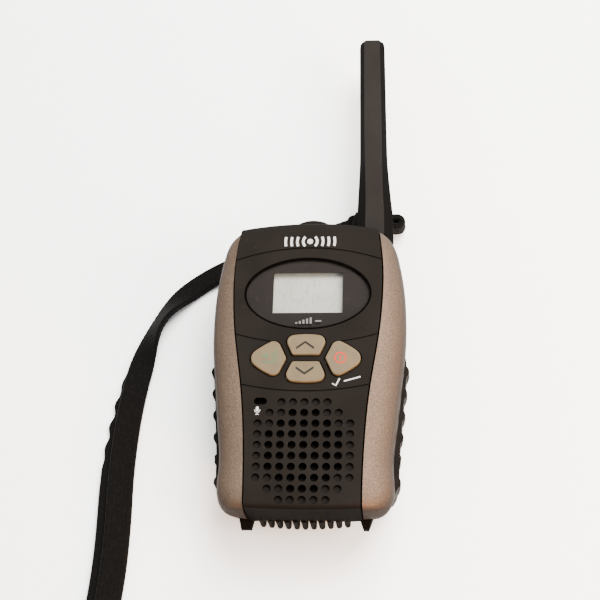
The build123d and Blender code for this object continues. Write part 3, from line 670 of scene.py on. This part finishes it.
def band_stations(line, width_at, roll_at, lift_at, side_at, closed=False):
    """Stations of a band along a line.  The four laws give its width, roll, lift and
    sideways shift at a distance along it, in millimetres and radians."""
    step = WEAVE_ROW / 5 * MM
    centre = evenly(line, step, closed)
    last = len(centre) - 1
    stations = []
    for i, here in enumerate(centre):
        before = centre[i - 1] if i or closed else here
        after = centre[(i + 1) % len(centre)] if i < last or closed else here
        tangent = (after - before).normalized()
        flat = UP.cross(tangent).normalized()
        along = i * step / MM
        roll = roll_at(along)
        side = flat * math.cos(roll) + UP * math.sin(roll)
        middle = here + (flat * side_at(along) + UP * lift_at(along)) * MM
        stations.append((middle, side, tangent.cross(side), width_at(along), along))
    return stations


def on_edge(along):
    """Roll of a band that stands on edge all along."""
    return math.pi / 2


def unmoved(along):
    """No lift or sideways shift."""
    return 0.0


def bell(along, middle, half_width):
    """Smooth hump of height one."""
    t = min(abs(along - middle) / half_width, 1.0)
    return (1 - t * t) ** 2


def ease(value, start, end):
    """Smooth step from 0 at the start to 1 at the end."""
    t = min(max((value - start) / (end - start), 0.0), 1.0)
    return t * t * (3 - 2 * t)


TWIST_AT = 68.0             # distance along the strap where it tips up
TWIST_HALF = 17.0
UPRIGHT_END = 22.0          # the legs leave the loop on edge and lie flat from here
UPRIGHT_LIFT = 2.9
LOOP_THICK = 2.1            # the loop's band, folded double
LOOP_WIDTH = 5.4
NECK_ROUTE = [(12.6, 101.3, 4.6), (9.2, 100.2, 4.5), (5.0, 98.9, 4.4)]
NECK_THICK = 2.6
STACK_HALF = 0.585          # from the middle of the pair to the middle of one leg


def add_strap():
    """The two legs, lying on each other and drifting apart, and their closed end."""
    line = smooth_line([place(x, y, STRAP_REST_Z) for x, y in STRAP_ROUTE])
    length = sum((b - a).length for a, b in zip(line, line[1:]))
    full = length / MM

    def upright(along):
        return 1 - ease(along, 0.0, UPRIGHT_END)

    def width(along):
        return 6.0 + 1.9 * ease(along, 45.0, 95.0) - 0.8 * upright(along)

    def roll(along):
        return math.pi / 2 * upright(along) + 0.85 * bell(along, TWIST_AT, TWIST_HALF)

    def lift(sign):
        return lambda along: (sign * STACK_HALF * (1 - upright(along)) +
                              UPRIGHT_LIFT * upright(along) +
                              2.2 * bell(along, TWIST_AT, TWIST_HALF))

    def shift(sign, share, ripple):
        """Apart where the legs lie free, together again at the closed end."""
        return lambda along: (-sign * STACK_HALF * upright(along) +
                              share * ease(along, TWIST_AT, 130) * (1 - ease(along, full - 16, full)) +
                              ripple * math.sin(along * 2 * math.pi / 7.0) * bell(along, 101, 22))

    legs = {}
    for name, sign, share, ripple in (("front", 1, 1.3, 0.0), ("back", -1, -1.5, 0.45)):
        stations = band_stations(line, width, roll, lift(sign), shift(sign, share, ripple))
        legs[name] = woven_piece(f"strap_{name}_leg", stations, STRAP_THICK, yarn), stations
    fold = strap_fold(legs["front"][1][-1], legs["back"][1][-1])
    hitch = add_hitch()
    neck = add_neck()
    keeper = add_keeper()
    for piece in (legs["front"][0], legs["back"][0], fold):
        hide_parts("strap_legs")
    for name, others in (("front", [fold, hitch, neck, keeper]), ("back", [])):
        piece, stations = legs[name]


def strap_fold(upper, lower):
    """Closed end of the wrist loop, where one leg turns over into the other."""
    top, side, up, width, along = upper
    bottom = lower[0]
    ahead = side.cross(up)
    middle = (top + bottom) / 2
    radius = (top - bottom).dot(UP) / 2
    stations = []
    for i in range(13):
        angle = math.pi * i / 12
        here = middle + (top - middle) * math.cos(angle) + ahead * radius * math.sin(angle)
        outward = up * math.cos(angle) + ahead * math.sin(angle)
        stations.append((here, side, outward, width, along + i * 0.15))
    return woven_piece("strap_fold", stations, STRAP_THICK, yarn)


def add_neck():
    """Sewn neck between the loop and the two legs, standing on edge."""
    line = smooth_line([place(*point) for point in NECK_ROUTE])
    stations = band_stations(line, lambda along: 5.6 - 0.08 * along, on_edge, unmoved, unmoved)
    return woven_piece("strap_neck", stations, NECK_THICK, yarn)


def add_hitch():
    """The strap's loop, standing on edge round the stud."""
    low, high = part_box("strap_hitch")
    middle = (low + high) / 2
    half = (high - low) / 2
    radius = half.y - LOOP_THICK / 2 * MM
    reach = half.x - half.y
    points = []
    for i in range(20):
        angle = 2 * math.pi * i / 20
        shift = reach if math.cos(angle) >= 0 else -reach
        points.append(middle + Vector((shift + radius * math.cos(angle), radius * math.sin(angle), 0)))
    line = smooth_line(points, closed=True)
    stations = band_stations(line, lambda along: LOOP_WIDTH, on_edge, unmoved, unmoved, closed=True)
    hitch = woven_piece("strap_loop", stations, LOOP_THICK - 2 * WEAVE_HIGH, yarn, closed=True)
    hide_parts("strap_hitch")
    return hitch


KEEPER_SLANT = math.radians(14.0)
KEEPER_WIDTH = 3.3
KEEPER_WALL = 0.4


def add_keeper():
    """Slanting woven sleeve round the strap's loop."""
    low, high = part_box("strap_keeper")
    middle = (low + high) / 2
    loop_low, loop_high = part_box("strap_hitch")
    half = (loop_high - loop_low) / 2
    across = Vector((math.sin(KEEPER_SLANT), math.cos(KEEPER_SLANT), 0))
    side = Vector((math.cos(KEEPER_SLANT), -math.sin(KEEPER_SLANT), 0))
    count = 60
    points = []
    for i in range(count):
        angle = 2 * math.pi * i / count
        c, s = math.cos(angle), math.sin(angle)
        wide = math.copysign(abs(c) ** 0.5, c) * (half.y + KEEPER_WALL * MM)
        tall = math.copysign(abs(s) ** 0.5, s) * (half.z + KEEPER_WALL * MM)
        points.append(middle + across * wide + UP * tall)
    walked = evenly(points, WEAVE_ROW / 5 * MM, closed=True)
    stations = []
    for i, here in enumerate(walked):
        tangent = (walked[(i + 1) % len(walked)] - walked[i - 1]).normalized()
        stations.append((here, side, tangent.cross(side), KEEPER_WIDTH, i * WEAVE_ROW / 5))
    keeper = woven_piece("keeper_sleeve", stations, KEEPER_WALL, keeper_sheen_yarn, closed=True)
    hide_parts("strap_keeper")
    return keeper


def add_floor():
    """Table that the radio lies on."""
    mesh = bpy.data.meshes.new("floor")
    size = FLOOR_HALF
    mesh.from_pydata([(-size, -size, 0), (size, -size, 0), (size, size, 0), (-size, size, 0)],
                     [], [(0, 1, 2, 3)])
    mesh.materials.append(pale_floor())
    floor = bpy.data.objects.new("floor", mesh)
    bpy.context.scene.collection.objects.link(floor)


# ---------------------------------------------------------------- lights
def area_light(name, place_at, target, size, power, color):
    """Soft square lamp aimed at a point."""
    data = bpy.data.lights.new(name, "AREA")
    data.size = size
    data.energy = power
    data.color = color
    lamp = bpy.data.objects.new(name, data)
    lamp.location = place_at
    lamp.rotation_euler = (Vector(target) - Vector(place_at)).to_track_quat("-Z", "Y").to_euler()
    bpy.context.scene.collection.objects.link(lamp)


def add_lights():
    """Pale sky all round, and the three lamps."""
    world = bpy.data.worlds.new("studio")
    bpy.context.scene.world = world
    world.use_nodes = True
    background = world.node_tree.nodes["Background"]
    background.inputs["Color"].default_value = SKY_COLOR
    background.inputs["Strength"].default_value = SKY_STRENGTH
    for lamp in LAMPS:
        area_light(*lamp)


add_camera()
dress_nodes()
add_strap()
add_symbols()
add_floor()
add_lights()
bpy.context.view_layer.update()
